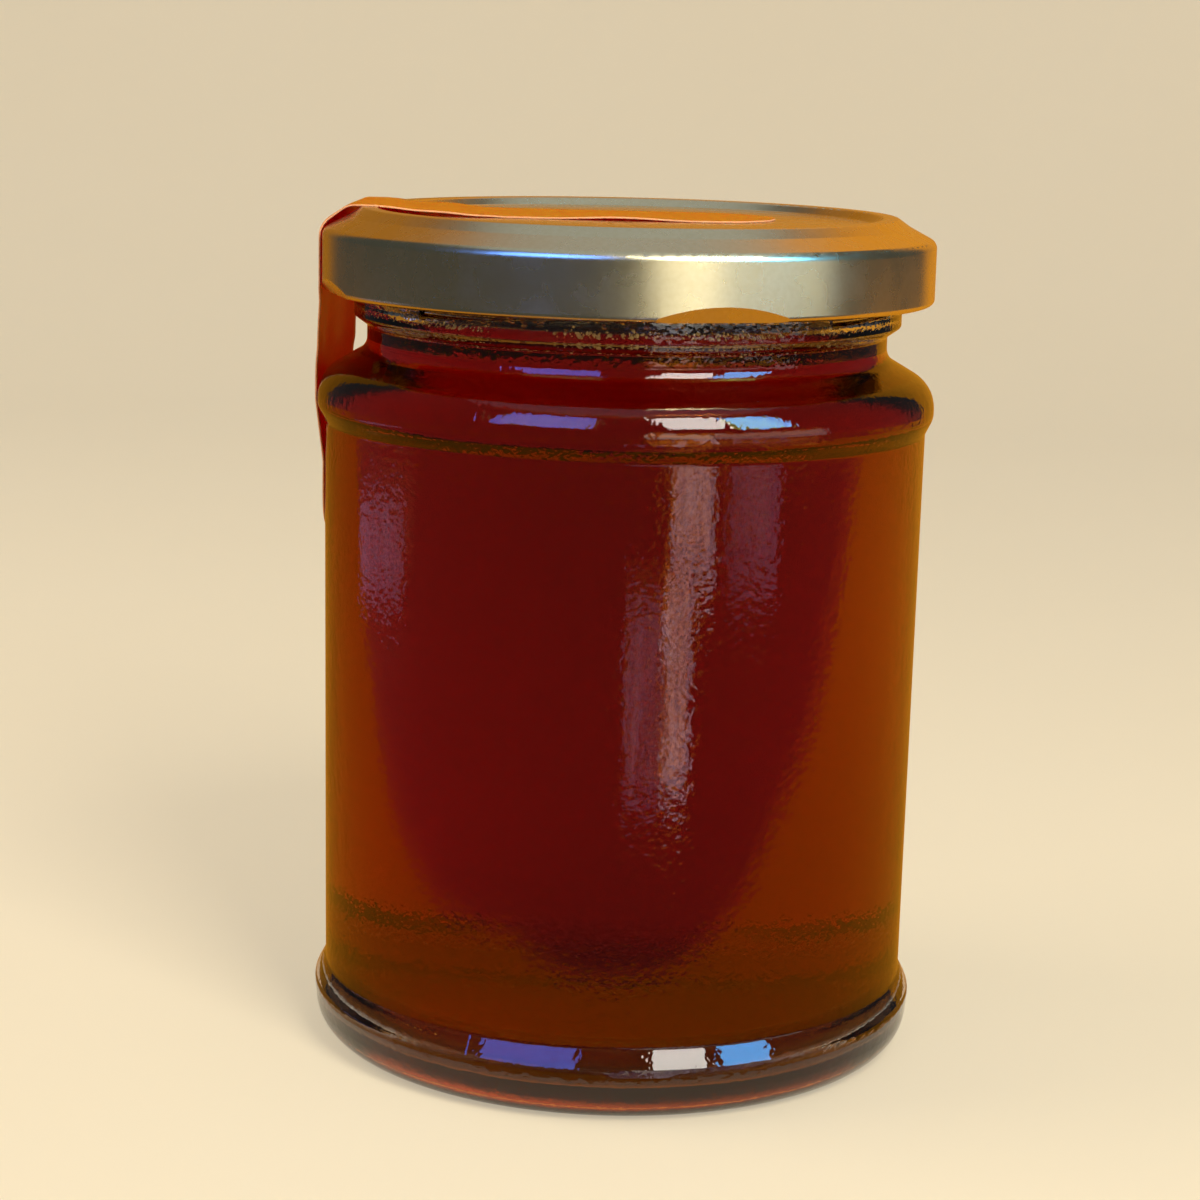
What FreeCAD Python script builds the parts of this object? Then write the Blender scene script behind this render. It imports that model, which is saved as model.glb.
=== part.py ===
import FreeCAD, Part
import math
import os
from FreeCAD import Vector

# Round glass honey jar with a 70 mm twist-off lid, a paper seal strip and its honey.
# Millimetres, +Z up.  The origin is the centre of the foot, on the surface it stands on.
# The front of the jar faces -Y and the seal strip runs down its -X side.

# ---- glass: outside -----------------------------------------------------------------
panel_radius = 36.0          # straight label panel, at its top
panel_taper = 0.4            # narrower than that at its foot
panel_top_height = 75.4
foot_proud = 0.35            # corner of the heel, before it is rounded, beyond the panel
foot_round = 4.2
foot_bead_proud = 0.95       # raised bead round the bottom
foot_bead_height = 6.3
foot_bead_round = 1.6
foot_groove_height = 8.9     # where the bead meets the panel
groove_round = 0.8
bearing_width = 7.4          # from the push-up's edge out to the heel's corner
bearing_round = 1.0
push_up_margin = 2.95        # sloping edge of the hollow under the foot
push_up_height = 1.6
push_up_round = 1.5
shoulder_proud = 0.92        # raised bead under the shoulder
shoulder_low_step = 1.9      # above the panel's top
shoulder_high_step = 5.35
shoulder_low_round = 2.0
shoulder_round = 4.2
shoulder_slope = 30.0        # degrees above level, from the bead up to the neck
neck_round = 2.0

# ---- glass: finish ------------------------------------------------------------------
finish_radius = 31.75        # plain wall that carries the thread
mouth_wall = 2.05
neck_inset = 0.7             # neck inside the finish
neck_length = 2.71           # from the shoulder's corner to the collar's flank
collar_proud = 0.9           # plain collar below the thread
collar_height = 1.5
collar_flank = 1.15
collar_round = 0.4
finish_height = 10.75        # collar's top to the rim
thread_proud = 2.05
thread_starts = 4
thread_root_width = 2.2
thread_crest_width = 1.0
thread_low_step = 3.5        # middle of the thread's low end, above the collar
thread_rise = 3.6
thread_turn = 80.0           # degrees
thread_sunk = 0.4            # how far a ridge or pad is let into the wall
thread_past_lug = 12.0       # degrees its low end reaches past the lug
pad_turn = 88.0              # degrees
pad_past_lug = 60.5          # degrees from a lug back to the pad's thin end
pad_end_rise = 2.6

# ---- glass: inside ------------------------------------------------------------------
panel_wall = 2.5
shoulder_wall = 2.8
shoulder_inside_drop = 1.12  # the slope starts this much lower inside than outside
neck_wall = 2.4
floor_height = 3.2
floor_round = 4.0
inside_round = 2.5           # where the wall bends inside, at the shoulder and the neck

# ---- honey --------------------------------------------------------------------------
honey_drop = 12.25           # level below the rim

# ---- lid ----------------------------------------------------------------------------
lid_sheet = 0.3
lid_skirt_clearance = 2.32   # thread to the inside of the skirt
lid_height = 9.9
lid_rim_clearance = 0.3      # mouth to the raised rim's inner crest
lid_rim_width = 1.8
lid_panel_slope = 1.0        # width and depth of the step down to the sunk middle
lid_step_width = 1.5         # rim's steep outer face
lid_step_drop = 1.05
lid_slope_drop = 1.63        # shallow slope from there to the skirt's corner
lid_corner_round = 1.1
lid_bend_round = 0.6
lid_hem_roll = 0.65
lid_hem_turn = 258.0         # degrees the roll is curled
lug_first = -73.0            # degrees, the lug beside the front
lug_clearance = 0.85         # collar to the lug's tip
lug_height = 0.95
lug_arch_top = 1.8           # top of the arch, above the hem's lowest edge
lug_arch_rise = 1.2
lug_arch_width = 14.5
lug_wall = 0.6
seat_gap = 0.05              # glass rim to the underside of the lid

# ---- seal strip ---------------------------------------------------------------------
strip_thick = 0.2
strip_gap = 0.05             # adhesive
strip_width = 18.0
strip_middle = 5.0           # the strip's middle line, behind the jar's own
strip_end_reach = 17.5       # rounded end, past the middle of the lid
strip_land_radius = 15.0     # where it leaves the sunk middle for the rim
strip_skirt_gap = 0.2
strip_over_rim = 1.4         # stays level this far past the rim before it bends down
strip_skirt_top = 2.3        # meets the skirt this far below the lid's top
strip_bend_round = 2.4
strip_soft_round = 6.0
strip_bridge = 5.0           # comes to lie on the glass this far below the panel's top
strip_tail = 9.4             # runs this much further down

# ---- fits worked out from those -----------------------------------------------------
foot_radius = panel_radius + foot_proud
shoulder_radius = panel_radius + shoulder_proud
shoulder_low_height = panel_top_height + shoulder_low_step
shoulder_high_height = panel_top_height + shoulder_high_step
neck_radius = finish_radius - neck_inset
mouth_radius = finish_radius - mouth_wall
collar_radius = finish_radius + collar_proud
thread_radius = finish_radius + thread_proud
shoulder_rise = math.tan(math.radians(shoulder_slope))
neck_foot_height = shoulder_high_height + (shoulder_radius - neck_radius) * shoulder_rise
collar_low_height = neck_foot_height + neck_length + collar_flank
collar_top_height = collar_low_height + collar_height
rim_height = collar_top_height + finish_height
honey_level = rim_height - honey_drop
lid_top_height = rim_height + seat_gap + lid_sheet
lid_hem_height = lid_top_height - lid_height
lid_radius = thread_radius + lid_skirt_clearance + lid_sheet
lid_rim_inner = mouth_radius + lid_rim_clearance
lid_rim_outer = lid_rim_inner + lid_rim_width
lid_panel_height = lid_top_height - lid_panel_slope
lug_reach = collar_radius + lug_clearance

AXIS = Vector(0, 0, 1)
ORIGIN = Vector(0, 0, 0)


def point(radius, height):
    """A place on the half section, in the XZ plane."""
    return Vector(radius, 0, height)


def rounded_path(corners):
    """Straight and round edges through (radius, height, rounding) corners, in order."""
    places = [point(c[0], c[1]) for c in corners]
    edges = []
    start = places[0]
    for i in range(1, len(corners) - 1):
        back = (places[i - 1] - places[i]).normalize()
        ahead = (places[i + 1] - places[i]).normalize()
        half = back.getAngle(ahead) / 2.0
        rounding = corners[i][2]
        run = rounding / math.tan(half)
        enter = places[i] + back * run
        leave = places[i] + ahead * run
        inward = (back + ahead).normalize()
        middle = places[i] + inward * (rounding / math.sin(half) - rounding)
        edges.append(Part.LineSegment(start, enter).toShape())
        edges.append(Part.Arc(enter, middle, leave).toShape())
        start = leave
    edges.append(Part.LineSegment(start, places[-1]).toShape())
    return edges


def turned(edges, first=0.0, turn=360.0):
    """Solid swung from a closed half section, through some degrees or all the way."""
    wire = Part.Wire(Part.__sortEdges__(edges))
    ring = Part.Face(wire).revolve(ORIGIN, AXIS, turn)
    ring.rotate(ORIGIN, AXIS, first)
    return ring


# ---- glass ------------------------------------------------------------------------
def cavity_corners():
    """Inside of the jar, from the middle of its floor up to the mouth."""
    neck_inside = neck_radius - neck_wall
    panel_inside = panel_radius - panel_wall
    groove_inside = panel_inside - panel_taper
    shoulder_inside = shoulder_radius - shoulder_wall
    slope_start = shoulder_high_height - shoulder_inside_drop
    slope_end = slope_start + (shoulder_inside - neck_inside) * shoulder_rise
    return [
        (0.0, floor_height, 0.0),
        (groove_inside, floor_height, floor_round),
        (groove_inside, foot_groove_height + floor_round, inside_round),
        (panel_inside, panel_top_height, inside_round),
        (shoulder_inside, shoulder_low_height, shoulder_low_round),
        (shoulder_inside, slope_start, inside_round),
        (neck_inside, slope_end, inside_round),
        (neck_inside, collar_low_height - collar_flank, inside_round),
        (mouth_radius, collar_top_height, inside_round),
        (mouth_radius, rim_height, 0.0),
    ]


def outside_corners():
    """Outside of the jar, from under the middle of its foot up to the finish."""
    bearing_edge = foot_radius - bearing_width
    return [
        (0.0, push_up_height, 0.0),
        (bearing_edge - push_up_margin, push_up_height, push_up_round),
        (bearing_edge, 0.0, bearing_round),
        (foot_radius, 0.0, foot_round),
        (panel_radius + foot_bead_proud, foot_bead_height, foot_bead_round),
        (panel_radius - panel_taper, foot_groove_height, groove_round),
        (panel_radius, panel_top_height, groove_round),
        (shoulder_radius, shoulder_low_height, shoulder_low_round),
        (shoulder_radius, shoulder_high_height, shoulder_round),
        (neck_radius, neck_foot_height, neck_round),
        (neck_radius, collar_low_height - collar_flank, collar_round),
        (collar_radius, collar_low_height, collar_round),
        (collar_radius, collar_top_height, collar_round),
        (finish_radius, collar_top_height + collar_round, collar_round),
        (finish_radius, rim_height, 0.0),
    ]


def glass_body():
    """Turned wall, closed over the top by a half-round rim."""
    spring = rim_height - mouth_wall / 2.0
    outside = outside_corners()
    outside[-1] = (finish_radius, spring, 0.0)
    cavity = cavity_corners()
    cavity[-1] = (mouth_radius, spring, 0.0)
    crown = point(mouth_radius + mouth_wall / 2.0, rim_height)
    edges = rounded_path(outside) + rounded_path(cavity)
    edges.append(Part.Arc(point(mouth_radius, spring), crown, point(finish_radius, spring)).toShape())
    edges.append(Part.LineSegment(point(0, push_up_height), point(0, floor_height)).toShape())
    return turned(edges)


def thread_ridge(lug_angle):
    """One of the short steep threads that a lug of the lid slides under."""
    pitch = thread_rise * 360.0 / thread_turn
    sunk = finish_radius - thread_sunk
    path = Part.Wire(Part.makeHelix(pitch, thread_rise, sunk).Edges)
    root = thread_root_width / 2.0
    crest = thread_crest_width / 2.0
    section = Part.makePolygon([
        point(sunk, -root),
        point(thread_radius, -crest),
        point(thread_radius, crest),
        point(sunk, root),
        point(sunk, -root),
    ])
    ridge = path.makePipeShell([section], True, True)
    ridge.translate(Vector(0, 0, collar_top_height + thread_low_step))
    ridge.rotate(ORIGIN, AXIS, lug_angle - thread_past_lug)
    return ridge


def run_out_pad(lug_angle):
    """Thickening that rises from the collar to a blunt end, below each thread."""
    sunk = finish_radius - thread_sunk
    collar_middle = collar_top_height - collar_height / 2.0
    high = collar_top_height + pad_end_rise
    section = Part.makePolygon([
        point(sunk, collar_middle),
        point(collar_radius, collar_middle),
        point(collar_radius, high),
        point(sunk, high),
        point(sunk, collar_middle),
    ])
    ring = turned(section.Edges, 0.0, pad_turn)
    size = 6 * collar_radius
    above = Part.makeBox(size, size, size, Vector(-size / 2, -size / 2, 0.0))
    span = 2 * collar_radius * math.sin(math.radians(pad_turn / 2.0))
    above.rotate(ORIGIN, Vector(0, 1, 0), math.degrees(math.atan2(pad_end_rise, span)))
    above.rotate(ORIGIN, AXIS, pad_turn / 2.0 - 90.0)
    above.translate(Vector(0, 0, collar_top_height + pad_end_rise / 2.0))
    pad = ring.cut(above)
    pad.rotate(ORIGIN, AXIS, lug_angle - pad_past_lug)
    return pad


def lug_angles():
    return [lug_first + 360.0 * i / thread_starts for i in range(thread_starts)]


def make_glass():
    glass = glass_body()
    extras = [thread_ridge(a) for a in lug_angles()]
    extras += [run_out_pad(a) for a in lug_angles()]
    return glass.fuse(extras).removeSplitter()


# ---- honey ------------------------------------------------------------------------
def make_honey():
    """The cavity's own shape, filled up to the level."""
    edges = rounded_path(cavity_corners())
    edges.append(Part.LineSegment(point(mouth_radius, rim_height), point(0, rim_height)).toShape())
    edges.append(Part.LineSegment(point(0, rim_height), point(0, floor_height)).toShape())
    full = turned(edges)
    size = 4 * collar_radius
    above = Part.makeBox(size, size, size, Vector(-size / 2, -size / 2, honey_level))
    return full.cut(above)


# ---- lid --------------------------------------------------------------------------
def lid_outline():
    """Outer line of the drawn sheet, from the middle out and down to the rolled hem."""
    step = lid_top_height - lid_step_drop
    corners = [
        (0.0, lid_panel_height, 0.0),
        (lid_rim_inner - lid_panel_slope, lid_panel_height, lid_bend_round),
        (lid_rim_inner, lid_top_height, lid_bend_round),
        (lid_rim_outer, lid_top_height, lid_bend_round),
        (lid_rim_outer + lid_step_width, step, lid_bend_round),
        (lid_radius, step - lid_slope_drop, lid_corner_round),
        (lid_radius, lid_hem_height + lid_hem_roll, 0.0),
    ]
    edges = rounded_path(corners)
    middle = point(lid_radius - lid_hem_roll, lid_hem_height + lid_hem_roll)
    places = []
    for i in range(7):
        turn = -math.radians(lid_hem_turn) * i / 6.0
        places.append(middle + point(math.cos(turn), math.sin(turn)) * lid_hem_roll)
    for i in (0, 2, 4):
        edges.append(Part.Arc(places[i], places[i + 1], places[i + 2]).toShape())
    return Part.Wire(edges)


def lid_shell():
    strip = lid_outline().makeOffset2D(-lid_sheet, fill=True, openResult=True)
    return strip.revolve(ORIGIN, AXIS, 360)


def lug_flat():
    """Depth of the flat across the skirt at the foot of the arch's sides."""
    half = lug_arch_width / 2.0
    return lid_radius - math.sqrt(lid_radius ** 2 - half ** 2)


def outside_lug_flat(angle):
    """Everything outside the leaning flat that the press leaves across the skirt at a lug."""
    lean = math.degrees(math.atan2(lug_flat(), lug_arch_rise))
    size = 2 * lid_radius
    block = Part.makeBox(size, size, size, Vector(0, -size / 2, -size / 2))
    block.rotate(ORIGIN, Vector(0, 1, 0), lean)
    block.translate(point(lid_radius, lid_hem_height + lug_arch_top))
    low = Part.makeBox(size, size, lug_arch_top + lug_wall,
                       Vector(0, -size / 2, lid_hem_height - lug_wall))
    cut = block.common(low)
    cut.rotate(ORIGIN, AXIS, angle)
    return cut


def lug_tongue(angle):
    """Hem folded flat and pushed inward to catch under a thread."""
    half_turn = math.degrees(math.asin(lug_arch_width / 2.0 / lid_radius))
    deep = lug_flat() * lug_arch_top / lug_arch_rise + lug_wall
    wall_top = lid_hem_height + lug_arch_top + lug_wall
    shelf = lid_hem_height + lug_height
    corners = [
        (lid_radius - deep, wall_top, 0.0),
        (lid_radius - deep, shelf, lug_wall / 2.0),
        (lug_reach, shelf, lug_wall / 2.0),
        (lug_reach, lid_hem_height, lug_wall / 2.0),
        (lid_radius, lid_hem_height, lid_hem_roll),
        (lid_radius, wall_top, 0.0),
    ]
    edges = rounded_path(corners)
    edges.append(Part.LineSegment(point(lid_radius, wall_top),
                                  point(lid_radius - deep, wall_top)).toShape())
    return turned(edges, angle - half_turn, 2 * half_turn)


def make_lid():
    lid = lid_shell()
    for angle in lug_angles():
        outside = outside_lug_flat(angle)
        lid = lid.cut(outside)
        lid = lid.fuse(lug_tongue(angle).cut(outside))
    return lid.removeSplitter()


# ---- seal strip -------------------------------------------------------------------
def strip_line():
    """Side of the strip that faces the jar, as it would run all round the lid."""
    panel = lid_panel_height + strip_gap
    crest = lid_top_height + strip_gap
    skirt = lid_radius + strip_skirt_gap
    shoulder = shoulder_radius + strip_gap
    glass = panel_radius + strip_gap
    touch = panel_top_height - strip_bridge
    corners = [
        (0.0, panel, 0.0),
        (strip_land_radius, panel, strip_soft_round),
        (lid_rim_inner, crest, strip_bend_round),
        (lid_rim_outer + strip_over_rim, crest, strip_bend_round),
        (skirt, lid_top_height - strip_skirt_top, strip_bend_round),
        (skirt, lid_hem_height + lid_hem_roll, strip_soft_round),
        (shoulder, shoulder_high_height, strip_bend_round),
        (shoulder, shoulder_low_height + 2 * strip_thick, strip_bend_round),
        (glass, touch, strip_soft_round),
        (glass, touch - strip_tail, 0.0),
    ]
    return Part.Wire(rounded_path(corners))


def strip_side():
    """The half on the strip's own side, cut to width, with a rounded lower end."""
    ribbon = strip_line().makeOffset2D(strip_thick, fill=True, openResult=True)
    sheet = ribbon.revolve(ORIGIN, AXIS, 360)
    half = strip_width / 2.0
    reach = 2 * lid_radius
    tail_middle = panel_top_height - strip_bridge - strip_tail + half
    nose = Part.makeCylinder(half, reach, Vector(0, strip_middle, tail_middle), Vector(-1, 0, 0))
    band = Part.makeBox(reach, strip_width, lid_top_height,
                        Vector(-reach, strip_middle - half, tail_middle))
    return sheet.common(nose.fuse(band))


def strip_end():
    """Flat end stuck to the middle of the lid, half round."""
    half = strip_width / 2.0
    base = lid_panel_height + strip_gap
    straight = strip_end_reach - half
    plate = Part.makeBox(straight, strip_width, strip_thick,
                         Vector(0, strip_middle - half, base))
    nose = Part.makeCylinder(half, strip_thick, Vector(straight, strip_middle, base))
    return plate.fuse(nose)


def make_strip():
    return strip_side().fuse(strip_end()).removeSplitter()


# ---- write ------------------------------------------------------------------------
def as_solid(shape):
    return shape.Solids[0] if len(shape.Solids) == 1 else shape


os.makedirs("parts", exist_ok=True)
as_solid(make_glass()).exportStep("parts/jar_glass.step")
as_solid(make_honey()).exportStep("parts/honey.step")
as_solid(make_lid()).exportStep("parts/lid.step")
as_solid(make_strip()).exportStep("parts/seal_strip.step")
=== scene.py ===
import math
import random

import bmesh
import bpy
from mathutils import Matrix, Vector, noise


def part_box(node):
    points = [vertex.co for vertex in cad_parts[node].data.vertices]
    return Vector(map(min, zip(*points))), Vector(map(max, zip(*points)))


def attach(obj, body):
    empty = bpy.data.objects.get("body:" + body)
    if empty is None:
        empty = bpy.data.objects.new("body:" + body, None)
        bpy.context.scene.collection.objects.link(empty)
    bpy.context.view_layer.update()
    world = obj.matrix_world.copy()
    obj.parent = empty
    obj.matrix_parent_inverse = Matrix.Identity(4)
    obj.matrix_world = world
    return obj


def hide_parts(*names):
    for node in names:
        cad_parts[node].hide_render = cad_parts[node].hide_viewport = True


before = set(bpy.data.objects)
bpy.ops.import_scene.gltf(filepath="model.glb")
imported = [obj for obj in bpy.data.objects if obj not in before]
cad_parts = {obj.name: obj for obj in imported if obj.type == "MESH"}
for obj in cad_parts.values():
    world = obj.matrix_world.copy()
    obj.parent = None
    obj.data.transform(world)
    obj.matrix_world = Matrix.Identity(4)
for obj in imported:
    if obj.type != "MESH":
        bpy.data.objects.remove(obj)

bpy.context.view_layer.update()


# ---- Camera ------------------------------------------------------------------------
# A long lens a third of a metre in front of the jar and a little above its lid, looking
# down. It leans by just over a degree, as a camera held in the hand does.
MM = 0.001
lens_length = 84.23
camera_stand = Vector((0.0, -336.4, 119.1)) * MM
camera_turn = 0.424
camera_down = 11.05
camera_lean = 1.352

camera_data = bpy.data.cameras.new("camera")
camera_data.lens = lens_length
camera_data.clip_start = 0.01
camera = bpy.data.objects.new("camera", camera_data)
bpy.context.scene.collection.objects.link(camera)
camera.matrix_world = (
    Matrix.Translation(camera_stand)
    @ Matrix.Rotation(math.radians(camera_turn), 4, "Z")
    @ Matrix.Rotation(math.radians(90.0 - camera_down), 4, "X")
    @ Matrix.Rotation(math.radians(camera_lean), 4, "Z")
)
bpy.context.scene.camera = camera
bpy.context.scene.view_settings.view_transform = "Standard"


# ---- Table, backdrop and lamps -----------------------------------------------------
# A pale cream paper sheet that turns up into a wall all round, lit by a large soft lamp from
# the right and a weaker one from the left. Cards that only reflections show stand round it:
# golden paper, a dim room and its windows, which glass and lacquer need to look like themselves.
def linear(colour):
    """The linear red, green, blue and alpha of an sRGB hex colour."""
    parts = []
    for place in (1, 3, 5):
        part = int(colour[place:place + 2], 16) / 255.0
        parts.append(part / 12.92 if part <= 0.04045 else ((part + 0.055) / 1.055) ** 2.4)
    return (*parts, 1.0)


def add(material, kind, inputs=None, **settings):
    """Adds one shader node. An input is a value, or a (node, output) pair to link."""
    node = material.node_tree.nodes.new(kind)
    for name, value in settings.items():
        setattr(node, name, value)
    for socket, value in (inputs or {}).items():
        if isinstance(value, tuple) and isinstance(value[0], bpy.types.Node):
            material.node_tree.links.new(value[0].outputs[value[1]], node.inputs[socket])
        else:
            node.inputs[socket].default_value = value
    return node


def blank_material(name):
    material = bpy.data.materials.new(name)
    material.use_nodes = True
    material.node_tree.nodes.clear()
    return material


def turned(name, profile, around=192, first=0.0, turn=360.0):
    """Mesh object swung round the jar's axis from (radius, height) points in metres."""
    closed = turn == 360.0
    columns = around if closed else around + 1
    vertices = []
    rings = []
    for radius, height in profile:
        if radius == 0.0:
            rings.append([len(vertices)] * columns)
            vertices.append((0.0, 0.0, height))
            continue
        rings.append(list(range(len(vertices), len(vertices) + columns)))
        for i in range(columns):
            angle = math.radians(first + turn * i / around)
            vertices.append((radius * math.cos(angle), radius * math.sin(angle), height))
    faces = []
    for low, high in zip(rings, rings[1:]):
        for i in range(around):
            j = (i + 1) % columns
            corners = [low[i], low[j], high[j], high[i]]
            faces.append(tuple(dict.fromkeys(corners)))
    mesh = bpy.data.meshes.new(name)
    mesh.from_pydata(vertices, [], faces)
    mesh.shade_smooth()
    piece = bpy.data.objects.new(name, mesh)
    bpy.context.scene.collection.objects.link(piece)
    return piece


# The sheet's sizes are in metres: flat under the jar, then a quarter round, then upright.
sheet_flat = 0.60
sheet_sweep = 0.45
sheet_top = 1.30
sweep_steps = 24
sheet_profile = [(0.0, 0.0), (0.15, 0.0), (0.35, 0.0)]
for step in range(sweep_steps + 1):
    bend = math.radians(90.0 * step / sweep_steps)
    radius = sheet_flat + sheet_sweep * math.sin(bend)
    height = sheet_sweep * (1 - math.cos(bend))
    sheet_profile.append((radius, height))
sheet_profile.append((sheet_flat + sheet_sweep, sheet_top))
sheet = turned("backdrop_sheet", sheet_profile)

# Uncoated studio paper, rolled smooth: matt, with a faint cloudiness. Part of what the eye,
# the metal and the glass see of it is its own even tone, so that it stays pale all over.
paper_cloud_width = 111.0
paper_own_tone = 0.42
cream_paper = blank_material("cream_backdrop_paper")
paper_place = add(cream_paper, "ShaderNodeTexCoord")
paper_cloud = add(cream_paper, "ShaderNodeTexNoise",
                  {"Vector": (paper_place, "Object"), "Scale": 1 / (paper_cloud_width * MM),
                   "Detail": 3.0})
paper_tone = add(cream_paper, "ShaderNodeMix",
                 {0: (paper_cloud, "Fac"), 6: linear("#F3E2BC"), 7: linear("#F6E7C6")},
                 data_type="RGBA")
paper_shader = add(cream_paper, "ShaderNodeBsdfPrincipled",
                   {"Base Color": (paper_tone, 2), "Roughness": 0.9, "Specular IOR Level": 0.0})
paper_path = add(cream_paper, "ShaderNodeLightPath")
paper_seen = add(cream_paper, "ShaderNodeMath",
                 {0: (paper_path, "Is Camera Ray"), 1: (paper_path, "Is Glossy Ray")},
                 operation="MAXIMUM")
paper_seen_through = add(cream_paper, "ShaderNodeMath",
                         {0: (paper_seen, "Value"), 1: (paper_path, "Is Transmission Ray")},
                         operation="MAXIMUM")
paper_share = add(cream_paper, "ShaderNodeMath",
                  {0: (paper_seen_through, "Value"), 1: paper_own_tone}, operation="MULTIPLY")
paper_glow = add(cream_paper, "ShaderNodeEmission", {"Color": linear("#FAF0D8"), "Strength": 1.0})
paper_mix = add(cream_paper, "ShaderNodeMixShader",
                {0: (paper_share, "Value"), 1: (paper_shader, "BSDF"), 2: (paper_glow, "Emission")})
add(cream_paper, "ShaderNodeOutputMaterial", {"Surface": (paper_mix, "Shader")})
sheet.data.materials.append(cream_paper)


def only_reflected(card):
    card.visible_camera = False
    card.visible_diffuse = False
    card.visible_shadow = False
    card.visible_volume_scatter = False


def reflected_card(name, material, profile, first, turn):
    """Card bent round the jar, from an angle right of its front; only polish shows it."""
    card = turned(name, profile, 64, first - 90.0, turn)
    card.data.materials.append(material)
    only_reflected(card)


# Thin card with a glow of its own: even, streaked upright as light through a curtain is, or
# dimmer towards the left, away from the lamp.
streak_width = 2.857
streak_height = 16.67
fade_reach = 0.3


def card_finish(name, colour, strength, streaks=0.0, left_share=1.0):
    """Glow that shows after a first reflection: even, streaked, or weaker to the left."""
    finish = blank_material(name)
    place = add(finish, "ShaderNodeTexCoord")
    across = 1 / (streak_width * MM)
    stretch = add(finish, "ShaderNodeMapping",
                  {"Vector": (place, "Object"), "Scale": (across, across, 1 / (streak_height * MM))})
    cloud = add(finish, "ShaderNodeTexNoise",
                {"Vector": (stretch, "Vector"), "Scale": 1.0, "Detail": 3.0})
    level = add(finish, "ShaderNodeMapRange",
                {"Value": (cloud, "Fac"), "From Min": 0.35, "From Max": 0.65,
                 "To Min": strength * (1 - streaks), "To Max": strength * (1 + streaks)})
    parts = add(finish, "ShaderNodeSeparateXYZ", {"Vector": (place, "Object")})
    share = add(finish, "ShaderNodeMapRange",
                {"Value": (parts, "X"), "From Min": -fade_reach, "From Max": fade_reach,
                 "To Min": left_share})
    power = add(finish, "ShaderNodeMath",
                {0: (level, "Result"), 1: (share, "Result")}, operation="MULTIPLY")
    glow = add(finish, "ShaderNodeEmission",
               {"Color": linear(colour), "Strength": (power, "Value")})
    path = add(finish, "ShaderNodeLightPath")
    seen = add(finish, "ShaderNodeMath",
               {0: (path, "Glossy Depth"), 1: 0.5}, operation="GREATER_THAN")
    clear = add(finish, "ShaderNodeBsdfTransparent")
    mix = add(finish, "ShaderNodeMixShader",
              {0: (seen, "Value"), 1: (clear, "BSDF"), 2: (glow, "Emission")})
    add(finish, "ShaderNodeOutputMaterial", {"Surface": (mix, "Shader")})
    return finish


# Cards are placed in metres, and their angles go from the jar's front to the right. The first
# is golden paper just over the whole sheet, inside its sweep by a hair.
card_lift = 0.5 * MM
card_inset = 4 * MM
golden_from = 0.045
golden_paper = card_finish("golden_card", "#E69826", 0.92, streaks=0.04, left_share=0.5)
golden_line = [(golden_from, card_lift), (sheet_flat, card_lift)]
golden_line += [(radius - card_inset, height + card_lift) for radius, height in sheet_profile[3:]]
reflected_card("golden_card", golden_paper, golden_line, first=-180.0, turn=360.0)

# The dim room behind the camera, and the sky in two high windows.
dim_grey = card_finish("dim_grey_card", "#8A8F94", 0.2)
reflected_card("room_card", dim_grey, [(0.64, 0.001), (0.64, 1.1)], first=-140.0, turn=280.0)
window_line = [(0.58, 0.25), (0.37, 0.50)]
right_sky = card_finish("blue_window_card", "#58B4FF", 15.0, streaks=0.3)
reflected_card("sky_card_right", right_sky, window_line, first=43.0, turn=21.0)
left_sky = card_finish("violet_window_card", "#5080FF", 6.5, streaks=0.5)
reflected_card("sky_card_left", left_sky, window_line, first=-50.0, turn=38.0)

# Pale walls at the height that the lid's skirt reflects.
skirt_line = [(0.42, 0.052), (0.42, 0.13)]
white_wall = card_finish("white_card", "#FFF8EA", 2.2, streaks=0.1)
reflected_card("lid_card", white_wall, skirt_line, first=9.0, turn=22.0)
grey_wall = card_finish("grey_card", "#F2F4F4", 1.05, streaks=0.15)
reflected_card("lid_card_right", grey_wall, skirt_line, first=31.0, turn=44.0)

# Streaks of window light on the glass panel: two bright ones and three dim ones.
far_line = [(0.25, 0.018), (0.25, 0.050)]
near_line = [(0.165, 0.001), (0.165, 0.034)]
left_line = [(0.30, 0.001), (0.30, 0.022)]
streaked = card_finish("streaked_card", "#F0EAFF", 1.6, streaks=0.85)
reflected_card("panel_card", streaked, far_line, first=17.0, turn=15.0)
reflected_card("panel_card_low", streaked, near_line, first=15.0, turn=9.0)
dim_streaked = card_finish("dim_streaked_card", "#D0C4F4", 0.6, streaks=0.9)
reflected_card("panel_card_middle", dim_streaked, near_line, first=2.0, turn=12.0)
reflected_card("panel_card_right", dim_streaked, far_line, first=37.0, turn=19.0)
reflected_card("panel_card_left", dim_streaked, left_line, first=-112.0, turn=26.0)

# The golden paper ends in front of the jar at an uneven edge, with dim floor beyond it.
table_edge = [
    (-0.50, 0.25),
    (-0.334, 0.141),
    (-0.052, -0.080),
    (0.118, -0.082),
    (0.398, 0.014),
    (0.60, 0.09),
]
floor_reach = 0.63
floor_first = 8.0
floor_turn = -214.0
floor_steps = 24
floor_lift = 0.8 * MM
floor_corners = list(table_edge)
for step in range(floor_steps + 1):
    side = math.radians(floor_first + floor_turn * step / floor_steps)
    floor_corners.append((floor_reach * math.cos(side), floor_reach * math.sin(side)))
table_mesh = bpy.data.meshes.new("table_card")
table_mesh.from_pydata([(x, y, floor_lift) for x, y in floor_corners], [],
                       [tuple(range(len(floor_corners)))])
table_mesh.materials.append(dim_grey)
table_card = bpy.data.objects.new("table_card", table_mesh)
bpy.context.scene.collection.objects.link(table_card)
only_reflected(table_card)

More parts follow.
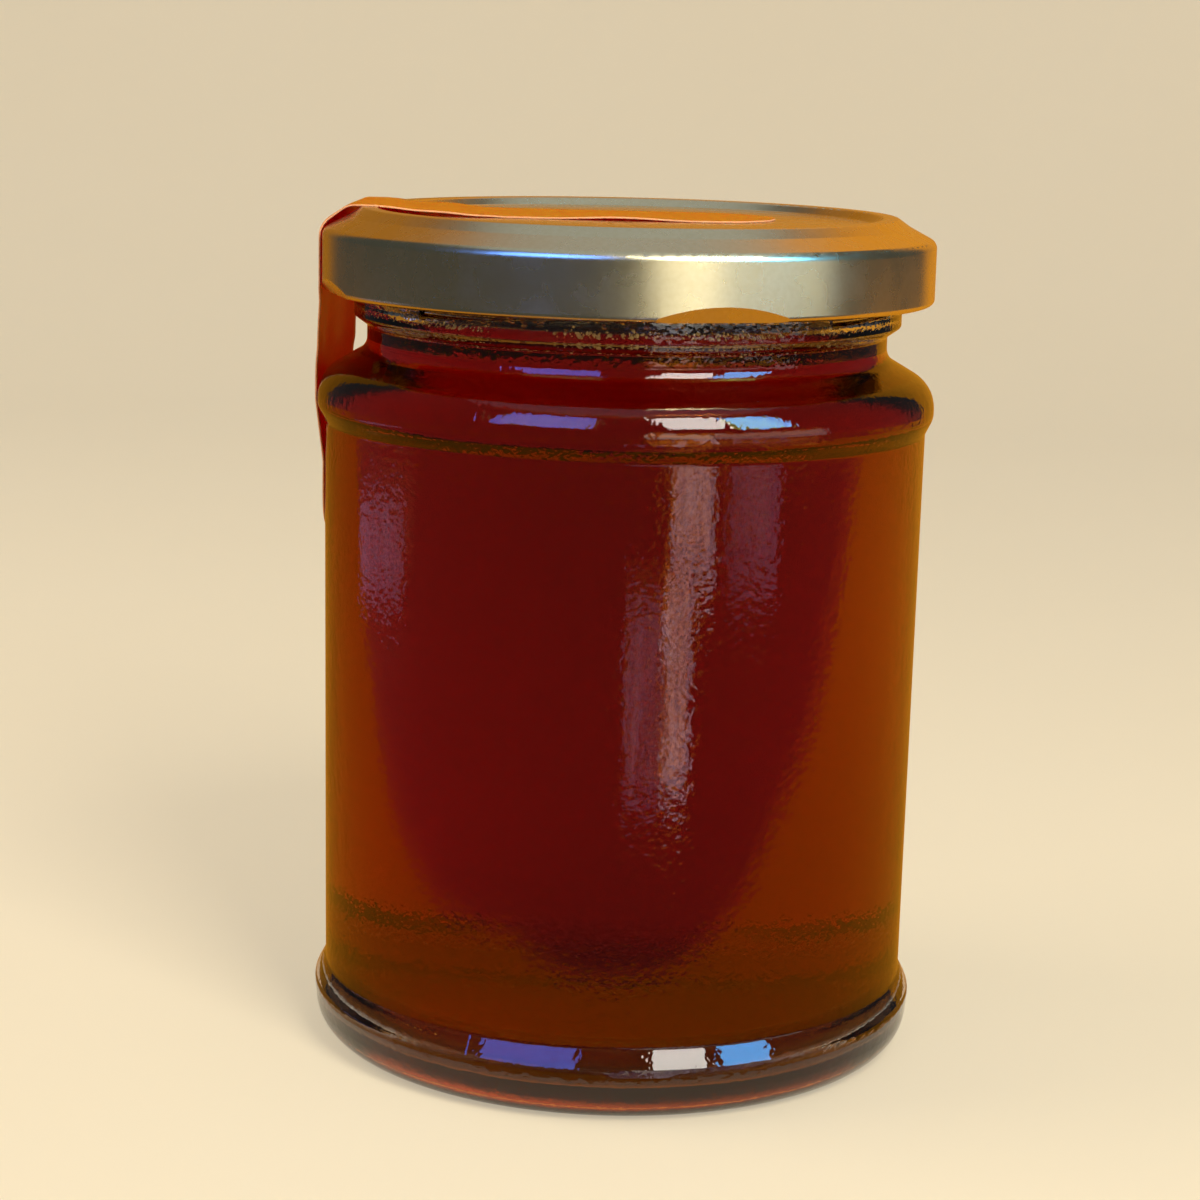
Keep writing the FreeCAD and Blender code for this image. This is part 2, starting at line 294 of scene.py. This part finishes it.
lamp_aim = Vector((0.0, 0.0, 55.0)) * MM


def soft_lamp(name, azimuth, elevation, distance, width, height, colour, radiance):
    """Square-edged soft lamp that faces the jar; its azimuth goes from the front to the right."""
    data = bpy.data.lights.new(name, "AREA")
    data.shape = "RECTANGLE"
    data.size = width
    data.size_y = height
    data.color = linear(colour)[:3]
    data.energy = radiance * math.pi * width * height
    lamp = bpy.data.objects.new(name, data)
    bpy.context.scene.collection.objects.link(lamp)
    side = math.radians(azimuth)
    up = math.radians(elevation)
    away = Vector((math.sin(side) * math.cos(up), -math.cos(side) * math.cos(up), math.sin(up)))
    lamp.location = lamp_aim + away * distance
    lamp.rotation_euler = away.to_track_quat("Z", "Y").to_euler()
    lamp.visible_camera = False
    lamp.visible_transmission = False
    return lamp


soft_lamp("key_lamp", azimuth=27.0, elevation=38.0, distance=0.62, width=0.22, height=0.36,
          colour="#FFFAF0", radiance=13.0)
fill = soft_lamp("fill_lamp", azimuth=-88.0, elevation=30.0, distance=0.60, width=0.40,
                 height=0.40, colour="#FFF0DC", radiance=3.0)
fill.visible_glossy = False

# Cool air, a little brighter overhead than at the sides.
side_air = 0.3
high_air = 0.42
world = bpy.data.worlds.new("studio_air")
world.use_nodes = True
world.node_tree.nodes.clear()
bpy.context.scene.world = world
air_place = add(world, "ShaderNodeTexCoord")
air_parts = add(world, "ShaderNodeSeparateXYZ", {"Vector": (air_place, "Generated")})
air_level = add(world, "ShaderNodeMapRange",
                {"Value": (air_parts, "Z"), "From Min": 0.2, "From Max": 0.9,
                 "To Min": side_air, "To Max": high_air})
air_shader = add(world, "ShaderNodeBackground",
                 {"Color": linear("#E9F0FF"), "Strength": (air_level, "Result")})
add(world, "ShaderNodeOutputWorld", {"Surface": (air_shader, "Background")})


# ---- Glass jar ---------------------------------------------------------------------
# Press-and-blow soda-lime glass, clear, with a raised bead at the shoulder and the foot.
# The mould leaves soft waves in the panel and a hair-line seam on two sides.

# Clear glass, blown against an iron mould: glossy, with soft upright waves and a fine orange
# peel that break up long reflections.
wave_width = 6.25
wave_height = 17.86
peel_width = 0.8
peel_depth = 0.45
seam_side = math.radians(-116.7)
seam_width = 0.35
seam_depth = 0.25
relief_depth = 0.2
clear_glass = blank_material("clear_soda_lime_glass")
glass_place = add(clear_glass, "ShaderNodeTexCoord")
glass_stretch = add(clear_glass, "ShaderNodeMapping",
                    {"Vector": (glass_place, "Object"),
                     "Scale": (1.0, 1.0, wave_width / wave_height)})
glass_waves = add(clear_glass, "ShaderNodeTexNoise",
                  {"Vector": (glass_stretch, "Vector"), "Scale": 1 / (wave_width * MM),
                   "Detail": 2.0})
glass_peel = add(clear_glass, "ShaderNodeTexNoise",
                 {"Vector": (glass_place, "Object"), "Scale": 1 / (peel_width * MM),
                  "Detail": 1.0})
glass_relief = add(clear_glass, "ShaderNodeMath",
                   {0: (glass_peel, "Fac"), 1: peel_depth, 2: (glass_waves, "Fac")},
                   operation="MULTIPLY_ADD")
seam_plane = add(clear_glass, "ShaderNodeVectorMath",
                 {0: (glass_place, "Object"), 1: (-math.sin(seam_side), math.cos(seam_side), 0.0)},
                 operation="DOT_PRODUCT")
seam_near = add(clear_glass, "ShaderNodeMath",
                {0: (seam_plane, "Value")}, operation="ABSOLUTE")
seam_ridge = add(clear_glass, "ShaderNodeMapRange",
                 {"Value": (seam_near, "Value"), "From Min": 0.0, "From Max": seam_width * MM,
                  "To Min": seam_depth, "To Max": 0.0}, interpolation_type="SMOOTHSTEP")
glass_height = add(clear_glass, "ShaderNodeMath",
                   {0: (glass_relief, "Value"), 1: (seam_ridge, "Result")}, operation="ADD")
glass_bump = add(clear_glass, "ShaderNodeBump",
                 {"Height": (glass_height, "Value"), "Strength": 0.35,
                  "Distance": relief_depth * MM})

# Where honey wets the inside, what the wall reflects is tinted the honey's amber: a painted
# reflection colour. The limits lie within the wall's thickness: a wide one for the body and a narrow
# one for the neck.
wet_floor = 3.0
wet_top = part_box("honey")[1].z
wet_body_radius = 34.5
wet_neck_radius = 30.0
wet_neck_from = 84.0
glass_parts = add(clear_glass, "ShaderNodeSeparateXYZ", {"Vector": (glass_place, "Object")})
glass_level = add(clear_glass, "ShaderNodeCombineXYZ",
                  {"X": (glass_parts, "X"), "Y": (glass_parts, "Y")})
glass_radius = add(clear_glass, "ShaderNodeVectorMath",
                   {0: (glass_level, "Vector")}, operation="LENGTH")
wet_slope = add(clear_glass, "ShaderNodeMath",
                {0: (glass_parts, "Z"), 1: wet_neck_from * MM}, operation="GREATER_THAN")
wet_reach = add(clear_glass, "ShaderNodeMath",
                {0: (wet_slope, "Value"), 1: (wet_neck_radius - wet_body_radius) * MM,
                 2: wet_body_radius * MM}, operation="MULTIPLY_ADD")
wet_inside = add(clear_glass, "ShaderNodeMath",
                 {0: (glass_radius, "Value"), 1: (wet_reach, "Value")}, operation="LESS_THAN")
wet_below = add(clear_glass, "ShaderNodeMath",
                {0: (glass_parts, "Z"), 1: wet_top}, operation="LESS_THAN")
wet_above = add(clear_glass, "ShaderNodeMath",
                {0: (glass_parts, "Z"), 1: wet_floor * MM}, operation="GREATER_THAN")
wet_band = add(clear_glass, "ShaderNodeMath",
               {0: (wet_below, "Value"), 1: (wet_above, "Value")}, operation="MULTIPLY")
wet_mask = add(clear_glass, "ShaderNodeMath",
               {0: (wet_inside, "Value"), 1: (wet_band, "Value")}, operation="MULTIPLY")
painted_reflection_tint = add(clear_glass, "ShaderNodeMix",
                 {0: (wet_mask, "Value"), 6: linear("#FFFFFF"), 7: linear("#F09428")},
                 data_type="RGBA")

# The thick foot is tinted amber, fading out upward: painted light standing in for the honey's amber
# that it gathers by many reflections inside the glass.
painted_amber_to = 4.5
clear_from = 8.5
painted_amber_share = add(clear_glass, "ShaderNodeMapRange",
                 {"Value": (glass_parts, "Z"), "From Min": painted_amber_to * MM,
                  "From Max": clear_from * MM, "To Min": 1.0, "To Max": 0.0},
                 interpolation_type="SMOOTHSTEP")
glass_tone_and_painted_amber = add(clear_glass, "ShaderNodeMix",
                 {0: (painted_amber_share, "Result"), 6: linear("#FBFEFC"), 7: linear("#BE6612")},
                 data_type="RGBA")
glass_shader = add(clear_glass, "ShaderNodeBsdfPrincipled",
                   {"Base Color": (glass_tone_and_painted_amber, 2), "Roughness": 0.0, "IOR": 1.52,
                    "Transmission Weight": 1.0, "Normal": (glass_bump, "Normal"),
                    "Specular Tint": (painted_reflection_tint, 2)})
add(clear_glass, "ShaderNodeOutputMaterial", {"Surface": (glass_shader, "BSDF")})
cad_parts["jar_glass"].material_slots[0].material = clear_glass


# ---- Honey -------------------------------------------------------------------------
# Dark clear honey that fills the jar to just under the collar. It wets the glass, so its
# top turns up at the wall. It is let into the wall by a hair so that no air shows between.
into_wall = 0.03
inside_floor = 3.2
honey_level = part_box("honey")[1].z / MM
meniscus_rise = 0.8
meniscus_width = 1.1
meniscus_steps = 40


def rounded(corners, steps=6):
    """(radius, height) points in metres along (radius, height, rounding) corners in mm."""
    points = [Vector(corners[0][:2])]
    for before, here, after in zip(corners, corners[1:], corners[2:]):
        corner = Vector(here[:2])
        back = (Vector(before[:2]) - corner).normalized()
        ahead = (Vector(after[:2]) - corner).normalized()
        half = back.angle(ahead) / 2
        run = here[2] / math.tan(half)
        centre = corner + (back + ahead).normalized() * here[2] / math.sin(half)
        start = corner + back * run - centre
        sweep = start.angle_signed(corner + ahead * run - centre)
        for i in range(steps + 1):
            points.append(centre + Matrix.Rotation(-sweep * i / steps, 2) @ start)
    points.append(Vector(corners[-1][:2]))
    return [(p.x * MM, p.y * MM) for p in points]


# Inside of the glass from the middle of its floor up to the brim: radius, height, rounding.
wall_inside = [
    (33.1, inside_floor - into_wall, 4.0),
    (33.1, 12.9, 2.5),
    (33.5, 75.4, 2.5),
    (34.12, 77.3, 2.0),
    (34.12, 79.63, 2.5),
    (28.65, 82.79, 2.5),
    (28.65, 86.85, 2.5),
    (29.14, honey_level + meniscus_rise, 0.0),
]
honey_outline = [(0.0, inside_floor - into_wall, 0.0)]
honey_outline += [(radius + into_wall, height, bend) for radius, height, bend in wall_inside]
honey_profile = rounded(honey_outline)
brim = honey_profile[-1][0] / MM
for step in range(1, meniscus_steps + 1):
    inward = brim * (step / meniscus_steps) ** 2
    lift = meniscus_rise * math.exp(-inward / meniscus_width)
    radius = (brim - inward) * MM if step < meniscus_steps else 0.0
    honey_profile.append((radius, (honey_level + lift) * MM))
honey = turned("honey_fill", honey_profile, 256)
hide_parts("honey")
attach(honey, "root")

# Strained runny honey, clear: light keeps its gold through thin places and turns brown, then
# nearly black red, in the depth.
dark_honey = blank_material("dark_clear_honey")
# Its reflections are tinted amber: a painted reflection colour.
honey_shader = add(dark_honey, "ShaderNodeBsdfPrincipled",
                   {"Base Color": linear("#FFFFFF"), "Roughness": 0.0, "IOR": 1.49,
                    "Transmission Weight": 1.0, "Specular Tint": linear("#F09428")})
honey_depth = add(dark_honey, "ShaderNodeVolumeAbsorption",
                  {"Color": linear("#F4C800"), "Density": 300.0})
add(dark_honey, "ShaderNodeOutputMaterial",
    {"Surface": (honey_shader, "BSDF"), "Volume": (honey_depth, "Volume")})
honey.data.materials.append(dark_honey)


# ---- Froth and bubbles -------------------------------------------------------------
# What filling leaves: bubbles of air in the honey's top and in the neck, fine froth in broken
# rings where the honey meets the glass, and drops of honey on the wall above it.
chance = random.Random(7)
bubble = bmesh.new()
bmesh.ops.create_icosphere(bubble, subdivisions=2, radius=1.0)
bubble_points = [v.co.copy() for v in bubble.verts]
bubble_faces = [[v.index for v in f.verts] for f in bubble.faces]
bubble.free()


def honey_top(radius):
    """Height of the honey's top at a distance from the axis, both in mm."""
    return honey_level + meniscus_rise * math.exp((radius - brim) / meniscus_width)


def joined_balls(name, balls, hollow):
    """One mesh of many small balls from (x, y, z, radius) in mm; hollow ones face inward."""
    vertices = []
    faces = []
    for x, y, z, size in balls:
        start = len(vertices)
        for p in bubble_points:
            vertices.append(((x + p.x * size) * MM, (y + p.y * size) * MM, (z + p.z * size) * MM))
        for face in bubble_faces:
            order = reversed(face) if hollow else face
            faces.append([start + i for i in order])
    mesh = bpy.data.meshes.new(name)
    mesh.from_pydata(vertices, [], faces)
    mesh.shade_smooth()
    piece = bpy.data.objects.new(name, mesh)
    bpy.context.scene.collection.objects.link(piece)
    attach(piece, "root")
    return piece


def ball_at(turn, radius, height, size):
    return (radius * math.cos(turn), radius * math.sin(turn), height, size)


neck_inside = 28.68
neck_flare_from = 87.0
neck_flare = 0.396


def wall_at(height):
    """Inside radius of the glass in the neck, in mm."""
    return neck_inside + neck_flare * max(height - neck_flare_from, 0.0)


def clumped(turn, height):
    """True where the froth has gathered, more likely at some places round the neck."""
    cloud = noise.noise(Vector((math.cos(turn) * 4.0, math.sin(turn) * 4.0, height)))
    return cloud > chance.uniform(-0.45, 0.35)


bubbles_afloat = 170
bubbles_in_all = 330
bubble_wall = 28.6
bubbles = []
while len(bubbles) < bubbles_afloat:
    turn = chance.uniform(-math.pi, math.pi)
    size = chance.choice((0.12, 0.18, 0.26, 0.36)) * chance.uniform(0.8, 1.2)
    radius = (brim - 1.0) * chance.uniform(0.1, 1.0) ** 0.4
    height = honey_top(radius) - size * chance.uniform(0.1, 0.6)
    bubbles.append(ball_at(turn, radius, height, size))
while len(bubbles) < bubbles_in_all:
    turn = chance.uniform(-math.pi, math.pi)
    size = chance.uniform(0.06, 0.16)
    radius = bubble_wall - size - chance.uniform(0.0, 0.3)
    bubbles.append(ball_at(turn, radius, chance.uniform(84.8, 87.4), size))
bubbles_piece = joined_balls("honey_bubbles", bubbles, True)

# Air shut in by honey: the skin bends light the other way, so each ball shows a bright rim.
trapped_air = blank_material("air_in_honey")
air_skin = add(trapped_air, "ShaderNodeBsdfPrincipled",
               {"Base Color": linear("#FFF6E0"), "Roughness": 0.0, "IOR": 1.49,
                "Transmission Weight": 1.0})
add(trapped_air, "ShaderNodeOutputMaterial", {"Surface": (air_skin, "BSDF")})
bubbles_piece.data.materials.append(trapped_air)

# Two rings of froth: one just above the honey's edge, one stuck to the wall below it.
froth_upper = 1250
froth_in_all = 1900
froth_lift = 0.35
low_ring_height = 87.0
froth = []
while len(froth) < froth_upper:
    turn = chance.uniform(-math.pi, math.pi)
    height = honey_level + froth_lift + abs(chance.gauss(0.0, 0.40))
    if clumped(turn, 0.0):
        size = chance.choice((0.05, 0.07, 0.09, 0.12, 0.17)) * chance.uniform(0.8, 1.25)
        froth.append(ball_at(turn, wall_at(height) - size * 0.7, height, size))
while len(froth) < froth_in_all:
    turn = chance.uniform(-math.pi, math.pi)
    height = low_ring_height + chance.gauss(0.0, 0.22)
    if clumped(turn, 9.0):
        size = chance.choice((0.05, 0.07, 0.10, 0.15)) * chance.uniform(0.8, 1.25)
        froth.append(ball_at(turn, wall_at(height) - size * 0.2, height, size))
froth_piece = joined_balls("honey_froth", froth, False)

# Froth whipped up by pouring: walls too thin to tell apart scatter light, so a clump looks
# pale gold and opaque, darker where it is wet through.
froth_cell = 1.11
pale_froth = blank_material("pale_golden_froth")
froth_place = add(pale_froth, "ShaderNodeTexCoord")
froth_cloud = add(pale_froth, "ShaderNodeTexNoise",
                  {"Vector": (froth_place, "Object"), "Scale": 1 / (froth_cell * MM)})
froth_tone = add(pale_froth, "ShaderNodeMix",
                 {0: (froth_cloud, "Fac"), 6: linear("#B87420"), 7: linear("#FFE3A0")},
                 data_type="RGBA")
froth_shader = add(pale_froth, "ShaderNodeBsdfPrincipled",
                   {"Base Color": (froth_tone, 2), "Roughness": 0.2, "IOR": 1.49})
add(pale_froth, "ShaderNodeOutputMaterial", {"Surface": (froth_shader, "BSDF")})
froth_piece.data.materials.append(pale_froth)

# Drops on the bare wall, thickest just above the honey and fewer higher up.
drop_count = 420
drop_lift = 0.9
drop_reach = 2.6
drop_wall = 29.2
drop_wall_flare = 0.19
drops = []
for _ in range(drop_count):
    turn = chance.uniform(-math.pi, math.pi)
    rise = chance.random() ** 1.6 * drop_reach
    wall = drop_wall + drop_wall_flare * rise
    size = chance.uniform(0.10, 0.34)
    drops.append(ball_at(turn, wall - size * 0.45, honey_level + drop_lift + rise, size))
drops_piece = joined_balls("honey_drops", drops, False)

# A single drop of the same honey is too thin to look dark.
thin_honey = blank_material("golden_honey_drop")
drop_shader = add(thin_honey, "ShaderNodeBsdfPrincipled",
                  {"Base Color": linear("#F5B23C"), "Roughness": 0.0, "IOR": 1.49,
                   "Transmission Weight": 1.0})
add(thin_honey, "ShaderNodeOutputMaterial", {"Surface": (drop_shader, "BSDF")})
drops_piece.data.materials.append(thin_honey)


# ---- Lid ---------------------------------------------------------------------------
# Drawn tinplate twist-off lid, turned down over the rim and held by four lugs under the
# glass thread. It is roller-coated with a thin gold lacquer before it is drawn.

# Lacquer over bright tin: pale satin gold. Its fine grain and the cloudy thickness of the coat
# soften the long reflections round the skirt. Real grain is finer than this; it is drawn as
# coarse as it needs to be to show.
grain_width = 0.556
coat_cloud_width = 3.85
coat_depth = 0.02
gold_lacquer = blank_material("gold_lacquered_tinplate")
lid_place = add(gold_lacquer, "ShaderNodeTexCoord")
lid_grain = add(gold_lacquer, "ShaderNodeTexNoise",
                {"Vector": (lid_place, "Object"), "Scale": 1 / (grain_width * MM),
                 "Detail": 1.0})
lid_cloud = add(gold_lacquer, "ShaderNodeTexNoise",
                {"Vector": (lid_place, "Object"), "Scale": 1 / (coat_cloud_width * MM),
                 "Detail": 3.0})
lid_rough = add(gold_lacquer, "ShaderNodeMapRange",
                {"Value": (lid_cloud, "Fac"), "From Min": 0.3, "From Max": 0.7,
                 "To Min": 0.25, "To Max": 0.30})
lid_tone = add(gold_lacquer, "ShaderNodeMix",
               {0: (lid_grain, "Fac"), 6: linear("#E8DCAC"), 7: linear("#F4EAC2")},
               data_type="RGBA")
lid_bump = add(gold_lacquer, "ShaderNodeBump",
               {"Height": (lid_cloud, "Fac"), "Strength": 0.1, "Distance": coat_depth * MM})
lid_shader = add(gold_lacquer, "ShaderNodeBsdfPrincipled",
                 {"Base Color": (lid_tone, 2), "Metallic": 1.0, "Roughness": (lid_rough, "Result"),
                  "Normal": (lid_bump, "Normal")})
add(gold_lacquer, "ShaderNodeOutputMaterial", {"Surface": (lid_shader, "BSDF")})
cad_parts["lid"].material_slots[0].material = gold_lacquer


# ---- Seal strip --------------------------------------------------------------------
# Coated paper label that runs from the lid's middle over its edge and down to the glass. It
# is stuck down on the lid, the skirt and the panel, and free where it crosses from one to the
# next. Its front edge has come up a little from the lid.
label_thick = 0.2
label_front = -4.0
label_width = 18.0
label_end = 17.5
label_foot = 61.0
on_lid = 99.65
over_rim = 100.62
on_skirt = 36.62
past_bead = 36.97
on_panel = 36.05
label_line = [
    (0.0, on_lid, 0.0),
    (15.0, on_lid, 6.0),
    (30.0, over_rim, 2.4),
    (33.2, over_rim, 2.4),
    (on_skirt, 98.3, 2.4),
    (on_skirt, 91.35, 6.0),
    (past_bead, 80.75, 2.4),
    (past_bead, 77.7, 2.4),
    (on_panel, 70.4, 6.0),
    (on_panel, label_foot, 0.0),
]


def along_line(points, spacing):
    """Evenly spaced points on a run of straight pieces."""
    placed = [points[0]]
    left = spacing
    for start, end in zip(points, points[1:]):
        length = (end - start).length
        done = 0.0
        while length - done >= left:
            done += left
            placed.append(start.lerp(end, done / length))
            left = spacing
        left -= length - done
    placed.append(points[-1])
    return placed


def smooth(low, high, value):
    """0 at low and 1 at high, with an easy start and end."""
    share = min(max((value - low) / (high - low), 0.0), 1.0)
    return share * share * (3 - 2 * share)


def end_half_width(past):
    """Half the label's width this far past the middle of one of its round ends."""
    return math.sqrt(max(round_end ** 2 - past ** 2, 0.04))


label_steps = 36
label_row = 0.5
round_end = label_width / 2
side_from = 30.0
wrap_from = 31.0
wrap_full = 36.3
lid_sag = 0.25
front_lift = 0.25
side_pinch = 0.30
ripples_per_mm = (0.16, 0.22, 0.10)
end_rows = round(label_end / label_row)
label_rows = [Vector((-step * label_row, on_lid)) for step in range(end_rows, 0, -1)]
label_rows += along_line([Vector(p) / MM for p in rounded(label_line)], label_row)
label_vertices = []
for out, height in label_rows:
    across = round_end
    if -out > label_end - round_end:
        across = end_half_width(-out - label_end + round_end)
    if height < label_foot + round_end and out > side_from:
        across = end_half_width(label_foot + round_end - height)
    # Not stuck down: from the lid's middle to its rim, and from the skirt to the bead.
    free_lid = smooth(15.0, 20.0, out) * (1 - smooth(25.0, 29.0, out))
    free_side = 0.0
    if out > side_from:
        free_side = smooth(91.0, 89.0, height) * (1 - smooth(84.0, 82.0, height))
    wrap = smooth(wrap_from, wrap_full, out)
    for step in range(label_steps + 1):
        side = label_front + round_end + across * (2 * step / label_steps - 1)
        ripple = noise.noise(Vector((out * ripples_per_mm[0], side * ripples_per_mm[1],
                                     height * ripples_per_mm[2])))
        sag = lid_sag * free_lid * (0.6 + ripple)
        lift = 0.0
        if out < 12.0:
            lift = front_lift * smooth(1.5, -4.0, side) * smooth(9.0, 0.0, abs(-out + 1.0))
        x = -out
        if out >= 0.0:
            pinch = side_pinch * free_side * (0.7 + ripple)
            x = pinch - math.sqrt(max(out ** 2 - (wrap * side) ** 2, 0.0))
        label_vertices.append((x * MM, side * MM, (height - sag + lift) * MM))
label_faces = []
for low in range(len(label_rows) - 1):
    for step in range(label_steps):
        a = low * (label_steps + 1) + step
        b = a + label_steps + 1
        label_faces.append((a, a + 1, b + 1, b))
label_mesh = bpy.data.meshes.new("paper_seal")
label_mesh.from_pydata(label_vertices, [], label_faces)
label_mesh.shade_smooth()
label = bpy.data.objects.new("paper_seal", label_mesh)
bpy.context.scene.collection.objects.link(label)
label_body = label.modifiers.new("paper_thickness", "SOLIDIFY")
label_body.thickness = label_thick * MM
label_body.offset = 1.0
label_body.material_offset_rim = 1
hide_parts("seal_strip")
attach(label, "root")

# Wood-free label paper, coated and printed one plain orange: a low sheen, and light that
# soaks in and glows. Real fibres are too fine to show, so they are drawn far coarser.
fibre_width = 0.667
fibre_depth = 0.05
soak_depth = 0.8
orange_paper = blank_material("orange_label_paper")
label_place = add(orange_paper, "ShaderNodeTexCoord")
label_fibre = add(orange_paper, "ShaderNodeTexNoise",
                  {"Vector": (label_place, "Object"), "Scale": 1 / (fibre_width * MM),
                   "Detail": 4.0})
label_tone = add(orange_paper, "ShaderNodeMix",
                 {0: (label_fibre, "Fac"), 6: linear("#C86E00"), 7: linear("#DC8208")},
                 data_type="RGBA")
label_bump = add(orange_paper, "ShaderNodeBump",
                 {"Height": (label_fibre, "Fac"), "Strength": 0.3, "Distance": fibre_depth * MM})
label_shader = add(orange_paper, "ShaderNodeBsdfPrincipled",
                   {"Base Color": (label_tone, 2), "Roughness": 0.45, "Subsurface Weight": 0.7,
                    "Subsurface Radius": (1.0, 0.35, 0.05), "Subsurface Scale": soak_depth * MM,
                    "Normal": (label_bump, "Normal")})
add(orange_paper, "ShaderNodeOutputMaterial", {"Surface": (label_shader, "BSDF")})
label_mesh.materials.append(orange_paper)

# Die-cut edge of the same paper: uncoated, so matt and paler, and a little furry.
edge_fibre_width = 0.4
cut_edge = blank_material("cut_paper_edge")
edge_place = add(cut_edge, "ShaderNodeTexCoord")
edge_fibre = add(cut_edge, "ShaderNodeTexNoise",
                 {"Vector": (edge_place, "Object"), "Scale": 1 / (edge_fibre_width * MM)})
edge_tone = add(cut_edge, "ShaderNodeMix",
                {0: (edge_fibre, "Fac"), 6: linear("#D98A54"), 7: linear("#F6B98C")},
                data_type="RGBA")
edge_shader = add(cut_edge, "ShaderNodeBsdfPrincipled",
                  {"Base Color": (edge_tone, 2), "Roughness": 0.8})
add(cut_edge, "ShaderNodeOutputMaterial", {"Surface": (edge_shader, "BSDF")})
label_mesh.materials.append(cut_edge)


# ---- Finish ------------------------------------------------------------------------
# Brings every object's place up to date.
bpy.context.view_layer.update()
